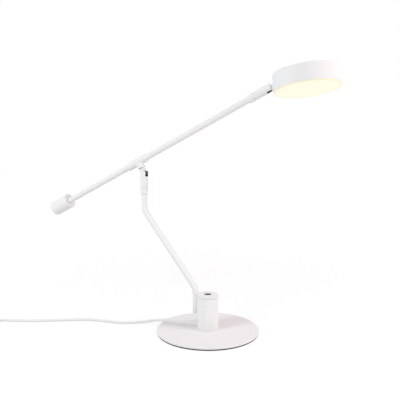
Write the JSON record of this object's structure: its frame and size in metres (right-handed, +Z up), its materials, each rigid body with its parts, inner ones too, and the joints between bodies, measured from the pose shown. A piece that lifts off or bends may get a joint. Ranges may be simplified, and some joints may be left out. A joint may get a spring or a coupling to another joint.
{
  "type": "counterweight balance desk lamp",
  "caption": "Balance desk lamp: round weighted base, bent stem, long arm with a counterweight, tilting and swivelling joints, and a flat drum head with an opal diffuser.",
  "frame": {"origin": "centre of the base pad's underside, on the table", "axes": "+X towards the head, +Z up, the stem and the arm stand in the XZ plane"},
  "size_m": [0.7416, 0.3117, 0.4757],
  "materials": {
    "white_steel": "satin",
    "white_aluminium": "satin",
    "bare_steel": "satin",
    "bare_aluminium": "satin",
    "nylon_washer": "matte",
    "pad_foam": "matte",
    "dark_key": "matte",
    "switch_black": "matte",
    "circuit_board": "satin",
    "driver_case": "matte",
    "led_chip": "gloss",
    "opal_diffuser": "satin",
    "white_cord": "satin",
    "wire_sheath": "satin",
    "plug_white": "satin",
    "plug_brass": "polished"
  },
  "bodies": {
    "root": {"base_pad": "pad_foam", "base_plate": "white_steel", "post_housing": "white_aluminium", "post_cap": "white_aluminium", "post_screws": "bare_steel", "tact_switch": "switch_black", "dimmer_board": "circuit_board", "board_screws": "bare_steel", "led_driver": "driver_case", "strain_relief": "white_cord", "supply_lead": "white_cord", "stem_tube": "white_steel", "stem_insert": "bare_steel", "stem_screws": "bare_steel", "stem_lead": "wire_sheath", "base_collar": "white_steel", "base_seam_washer": "nylon_washer", "base_swivel_washer": "bare_steel", "base_swivel_nut": "bare_steel", "cord_run": "white_cord", "cord_coil": "white_cord", "cord_tail": "white_cord", "coil_tie": "switch_black", "plug_body": "plug_white", "plug_pins": "plug_brass"},
    "swivel": {"base_clevis": "white_aluminium", "base_stop_screw": "bare_steel", "base_pivot_screw": "bare_steel", "base_tilt_washers": "nylon_washer"},
    "arm": {"base_tongue": "white_steel", "tongue_screw": "bare_steel", "arm_sleeve": "white_steel", "sleeve_screw": "bare_steel", "arm_tube": "white_aluminium", "arm_end_plug": "bare_aluminium", "counterweight": "white_steel", "counterweight_screw": "bare_steel", "arm_lead": "wire_sheath", "head_collar": "white_aluminium", "head_seam_washer": "nylon_washer", "head_swivel_washer": "bare_steel", "head_swivel_nut": "bare_steel"},
    "head_swivel": {"head_clevis": "white_aluminium", "head_stop_screw": "bare_steel", "head_pivot_screw": "bare_steel", "head_tilt_washers": "nylon_washer"},
    "head": {"head_tongue": "white_aluminium", "hinge_screws": "bare_steel", "head_shell": "white_aluminium", "heat_spreader": "bare_aluminium", "led_board": "circuit_board", "leds": "led_chip", "head_screws": "bare_steel", "diffuser": "opal_diffuser"},
    "key": {"dimmer_key": "dark_key", "switch_plunger": "switch_black"}
  },
  "joints": [
    {"name": "base_swivel", "type": "hinge", "parent": "root", "child": "swivel", "pos_m": [-0.1367, 0, 0.265], "axis": [0, 0, 1], "range_deg": [-150, 150]},
    {"name": "arm_tilt", "type": "hinge", "parent": "swivel", "child": "arm", "pos_m": [-0.1367, 0, 0.2935], "axis": [0, -1, 0], "range_deg": [-50, 45]},
    {"name": "head_swivel", "type": "hinge", "parent": "arm", "child": "head_swivel", "pos_m": [0.08857, 0, 0.43062], "axis": [0.9011, 0, 0.4337], "range_deg": [-150, 150]},
    {"name": "head_tilt", "type": "hinge", "parent": "head_swivel", "child": "head", "pos_m": [0.11425, 0, 0.44298], "axis": [-0.0398, -0.9958, 0.0828], "range_deg": [-62, 97]},
    {"name": "key_press", "type": "slide", "parent": "root", "child": "key", "axis": [0, 0, -1], "range_m": [0, 0.0009], "stiffness_N_per_m": 1500, "springref_m": -0.0003}
  ]
}
